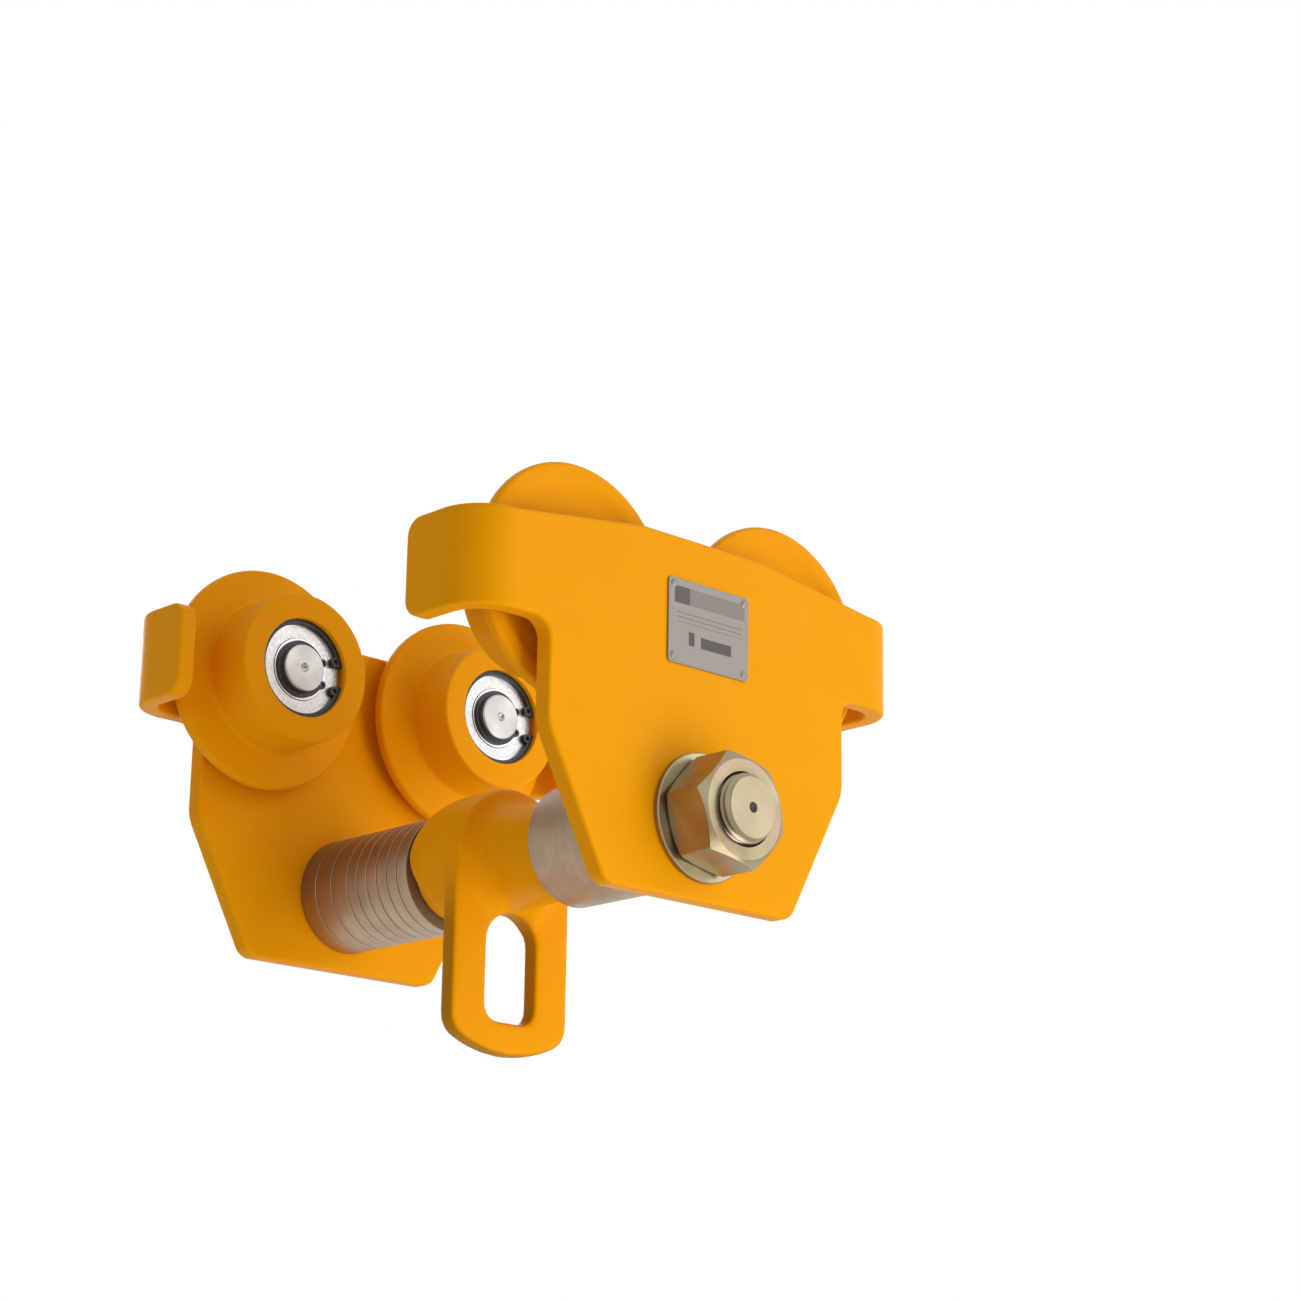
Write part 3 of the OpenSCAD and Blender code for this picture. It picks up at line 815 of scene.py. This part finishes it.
def makeNut(node):
    low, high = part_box(node)
    corner, land = nut["flats"] / math.sqrt(3), nut["land"] * nut["flats"] / 2
    angles = [math.radians(60 * number - nut["turn"]) for number in range(6)]
    hexagon = [(corner * math.cos(angle), barZ + corner * math.sin(angle), nut["edge"]) for angle in angles]
    piece = pressed(node + "_forged", hexagon, low.y - spare, high.y + spare, nut["edgeSteps"])
    reach = corner + spare
    rise = (reach - land) * math.tan(math.radians(nut["slope"]))
    combine(piece, turned("cone", [
        (0, low.y, 0), (land, low.y, 0), (reach, low.y + rise, 0),
        (reach, high.y - rise, 0), (land, high.y, 0), (0, high.y, 0)], barAxis), "INTERSECT")
    bore, lead = bar["radius"], nut["lead"]
    combine(piece, turned("bore", [
        (0, low.y - lead, 0), (bore + 2 * lead, low.y - lead, 0), (bore, low.y + lead, 0),
        (bore, high.y - lead, 0), (bore + 2 * lead, high.y + lead, 0), (0, high.y + lead, 0)],
        barAxis), "DIFFERENCE")
    return piece


for piece, node in bothSides(makeNut, "nut_near"):
    finishPiece(piece, "frame", node, zincPlate, nut["sharp"])
print("nuts are made")


# Forged lug: hub, head and a slotted eye in one piece

lug = {
    "eyeMiddle": -1.6 * mm,  # along the bar
    "boss": 25 * mm,         # radii
    "head": 36.4 * mm,
    "lobe": 29.5 * mm,
    "headBack": 15 * mm,
    "fillet": 13 * mm,
    "endEdge": 1 * mm,
    "eyeWide": 37.6 * mm,    # half widths
    "eyeThick": 5 * mm,
    "eyeDrop": 97.8 * mm,    # below the bar's axis
    "eyeBottom": 70 * mm,
    "eyeCorner": 12.5 * mm,
    "eyeTopIn": 2 * mm,      # its top, inside the head
    "eyeTopUp": 4 * mm,
    "slotWide": 15.75 * mm,
    "slotTop": 27 * mm,
    "slotBottom": 81.5 * mm,
    "slotCorner": 8.5 * mm,
    "flareLead": 0.2 * mm,
    "bore": 16.58 * mm,
    "cutReach": 60 * mm,
    "arcSteps": 8,
    "longArcSteps": 16,
    "voxel": 1.0 * mm,
    "smoothing": 16,
    "sharp": 50,             # degrees
    "shadeInset": 0.3 * mm,    # from the eye's faces to the painted shade on its walls
    # below the bar's axis, where the walls' painted shade begins
    "shadeDrop": 12 * mm,
}

# the eye's side and slot walls get painted shade, darker lower down
forgedPaint = yellowPaint("forgedPaint", 0.22, 170, 1.2, {
    "front": lug["eyeMiddle"] - lug["eyeThick"] + lug["shadeInset"],
    "back": lug["eyeMiddle"] + lug["eyeThick"] - lug["shadeInset"],
    "top": barZ - lug["shadeDrop"],
})


def arc(centre, radius, first, last, steps=lug["arcSteps"]):
    # corners along an arc, from one angle to another
    turns = [first + (last - first) * step / steps for step in range(steps + 1)]
    return [(centre[0] + radius * math.cos(turn), centre[1] + radius * math.sin(turn), 0) for turn in turns]


def hubOutline(nearEnd, farEnd):
    # near boss, fillet up to the head, and a dome that falls to the far lobe
    boss, head, fillet, edge = lug["boss"], lug["head"], lug["fillet"], lug["endEdge"]
    front, drop = lug["eyeMiddle"] - lug["eyeThick"], head - lug["lobe"]
    slope = farEnd - edge - lug["headBack"]
    dome = (slope ** 2 + drop ** 2) / (2 * drop)
    reach = math.acos(1 - (head - boss) / fillet)
    rise = arc((boss + fillet, front - fillet), fillet, math.pi, math.pi - reach)
    fall = arc((head - dome, lug["headBack"]), dome, 0, math.asin(slope / dome))
    return [(0, nearEnd, 0), (boss, nearEnd, edge)] + rise + [(head, front, 0)] + fall + [
        (lug["lobe"] - edge, farEnd, 0), (0, farEnd, 0)]


def eyeOutline():
    # the bottom arc runs into the sides through two smaller ones, and the top lies inside the head
    wide, bottom, corner = lug["eyeWide"], lug["eyeBottom"], lug["eyeCorner"]
    middle = (0, barZ - lug["eyeDrop"] + bottom)
    cornerX = wide - corner
    cornerZ = middle[1] - math.sqrt((bottom - corner) ** 2 - cornerX ** 2)
    meet = math.atan2(cornerZ - middle[1], cornerX)
    left = arc((-cornerX, cornerZ), corner, -math.pi, -math.pi - meet)[:-1]
    below = arc(middle, bottom, -math.pi - meet, meet, lug["longArcSteps"])
    right = arc((cornerX, cornerZ), corner, meet, 0)[1:]
    shoulderZ = barZ - lug["slotTop"] / 2
    topX, topZ = lug["head"] - lug["eyeTopIn"], barZ + lug["eyeTopUp"]
    return left + below + right + [
        (wide, shoulderZ, 0), (topX, topZ, 0), (-topX, topZ, 0), (-wide, shoulderZ, 0)]


def makeFlare(way, length, slotTop):
    # a cone that widens the slot's top towards one face, but spares the slim end of the hub
    half, lead = lug["slotWide"], lug["flareLead"]
    start = lug["eyeMiddle"] + way * (lug["eyeThick"] - 2 * lead)
    end = start + way * length
    cone = turned("flare", [
        (0, start, 0), (half - lead, start, 0), (half - lead + length, end, 0), (0, end, 0)], (0, slotTop))
    hub = rod("hub", lug["boss"] + lead, -lug["cutReach"], lug["cutReach"])
    combine(cone, hub, "DIFFERENCE")
    return cone


def makeLug():
    low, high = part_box("load_lug")
    piece = turned("load_lug_forged", hubOutline(low.y, high.y), barAxis)
    middle, thick, half = lug["eyeMiddle"], lug["eyeThick"], lug["slotWide"]
    combine(piece, pressed("eye", eyeOutline(), middle - thick, middle + thick), "UNION")
    top, bottom = barZ - lug["slotTop"] - half, barZ - lug["slotBottom"]
    slot = [(-half, bottom, lug["slotCorner"]), (half, bottom, lug["slotCorner"])]
    slot += arc((0, top), half, 0, math.pi, lug["longArcSteps"])
    combine(piece, pressed("slot", slot, middle - 2 * thick, middle + 2 * thick), "DIFFERENCE")
    for way in (-1, 1):
        combine(piece, makeFlare(way, high.y, top), "DIFFERENCE")
    addModifier(piece, "REMESH", mode="VOXEL", voxel_size=lug["voxel"])
    takeUp(piece)
    editMode()
    selectAll()
    bpy.ops.mesh.vertices_smooth(factor=0.5, repeat=lug["smoothing"])
    editMode(False)
    combine(piece, rod("bore", lug["bore"], -lug["cutReach"], lug["cutReach"]), "DIFFERENCE")
    finishPiece(piece, "lug", "load_lug", forgedPaint, lug["sharp"])


makeLug()
print("lug is made")


# Rating plate and its drive rivets

tag = {
    "corner": 2 * mm,
    "edge": 0.15 * mm,
    # printed fields: left, right, low and high, as shares of the half width and height
    "header": (-0.86, 0.9, 0.42, 0.82),
    "square": (-0.86, -0.48, 0.42, 0.82),
    "rules": (-0.8, 0.84, -0.02, 0.3),
    "longBox": (-0.2, 0.56, -0.52, -0.26),
    "shortBox": (-0.5, -0.36, -0.52, -0.2),
    "rows": 9,
    "gap": 0.72,             # share of a row above its rule
    # rivets
    "inset": 3.2 * mm,
    "head": 2.16 * mm,
    "dome": 0.96 * mm,
    "domeSteps": 5,
    "shank": 1.2 * mm,
    "grip": 1 * mm,
    "turnSteps": 24,
}

tagLow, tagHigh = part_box("rating_plate")


def printedAluminium(name):
    # plain fields instead of text: a header with a dark square, ruled rows and two boxes
    pale, shade, ink = tone(0.26, 0.23, 0.21), tone(0.12, 0.105, 0.095), tone(0.035, 0.03, 0.03)
    material, place = startMaterial(name)
    middle, half = (tagLow + tagHigh) / 2, (tagHigh - tagLow) / 2
    across = (place.axis("X") - middle.x) / half.x
    up = (place.axis("Z") - middle.z) / half.z
    brushed = place.stretched((260, 1, 4200)).noise(1, 3, 0.6)

    def field(key):
        left, right, low, high = tag[key]
        return (across > left) * (across < right) * (up > low) * (up < high)

    rows = up * tag["rows"]
    rules = field("rules") * (rows.maths("FRACT", rows) > tag["gap"])
    boxes = field("longBox") + field("shortBox")
    colour = (brushed * 0.6).mix(pale, tone(0.21, 0.185, 0.165))
    for part, strength, dye in (
            (field("header"), 0.55, shade), (field("square"), 0.7, ink),
            (rules, 0.4, ink), (boxes, 0.85, ink)):
        colour = (part * strength).mix(colour, dye)
    return endMaterial(material, place, {
        "Base Color": colour,
        "Roughness": brushed.span(0.3, 0.7, 0.38, 0.5),
        "Metallic": 0.55,
        "Normal": (brushed * 0.06).bump(0.2 * mm),
    })


tagPaint = printedAluminium("tagPaint")
rivetAlloy = grainedSurface("rivetAlloy", tone(0.30, 0.27, 0.25), tone(0.22, 0.20, 0.18), 700, 0.4, 0.6)


def makeTag():
    corners = [(tagLow.x, tagLow.z), (tagHigh.x, tagLow.z), (tagHigh.x, tagHigh.z), (tagLow.x, tagHigh.z)]
    piece = pressed("rating_plate_sheet", [(x, z, tag["corner"]) for x, z in corners], tagLow.y, tagHigh.y)
    addModifier(piece, "BEVEL", width=tag["edge"], segments=2, limit_method="ANGLE",
                angle_limit=math.radians(40))
    finishPiece(piece, "frame", "rating_plate", tagPaint)


def rivetOutline():
    # a domed head, and a shank that reaches into the side plate
    ball = (tag["head"] ** 2 + tag["dome"] ** 2) / (2 * tag["dome"])
    reach, steps = math.asin(tag["head"] / ball), tag["domeSteps"]
    top, end = tagLow.y - tag["dome"], tagHigh.y + tag["grip"]
    turns = [reach * step / steps for step in range(steps + 1)]
    return [(ball * math.sin(turn), top + ball * (1 - math.cos(turn)), 0) for turn in turns] + [
        (tag["shank"], tagLow.y, 0), (tag["shank"], end, 0), (0, end, 0)]


def makeRivets():
    rivets = []
    for x in (tagLow.x + tag["inset"], tagHigh.x - tag["inset"]):
        for z in (tagLow.z + tag["inset"], tagHigh.z - tag["inset"]):
            rivets.append(turned("rivet", rivetOutline(), (x, z), steps=tag["turnSteps"]))
    takeUp(rivets[0])
    for rivet in rivets[1:]:
        rivet.select_set(True)
    bpy.ops.object.join()
    rivets[0].name = "tag_rivets_domed"
    finishPiece(rivets[0], "frame", "tag_rivets", rivetAlloy)


makeTag()
makeRivets()
print("rating plate is made")


# The bearings and snap rings keep their own meshes

groundSteel = turnedSteel("groundSteel", tone(0.62, 0.62, 0.62), tone(0.45, 0.45, 0.45), 0.16, 0.2)
shieldSteel = grainedSurface("shieldSteel", tone(0.55, 0.55, 0.54), tone(0.42, 0.42, 0.41), 700, 0.3, 1.0)
springSteel = grainedSurface("springSteel", tone(0.06, 0.06, 0.065), tone(0.03, 0.03, 0.032), 900, 0.4, 0.7)
ballSteel = grainedSurface("ballSteel", tone(0.75, 0.75, 0.75), tone(0.68, 0.68, 0.68), 300, 0.08, 1.0, 0.0)
cagePlastic = grainedSurface("cagePlastic", tone(0.10, 0.14, 0.07), tone(0.07, 0.10, 0.05), 500, 0.5, 0.0)
keptFinishes = {
    "bearing_inner_ring": groundSteel,
    "bearing_outer_ring": groundSteel,
    "bearing_balls": ballSteel,
    "bearing_cage": cagePlastic,
    "bearing_shields": shieldSteel,
    "bore_circlip": springSteel,
    "axle_circlip": springSteel,
}
for node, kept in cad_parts.items():
    for start, finish in keptFinishes.items():
        if node.startswith(start):
            for materialSlot in kept.material_slots:
                materialSlot.material = finish
print("bearings are finished")
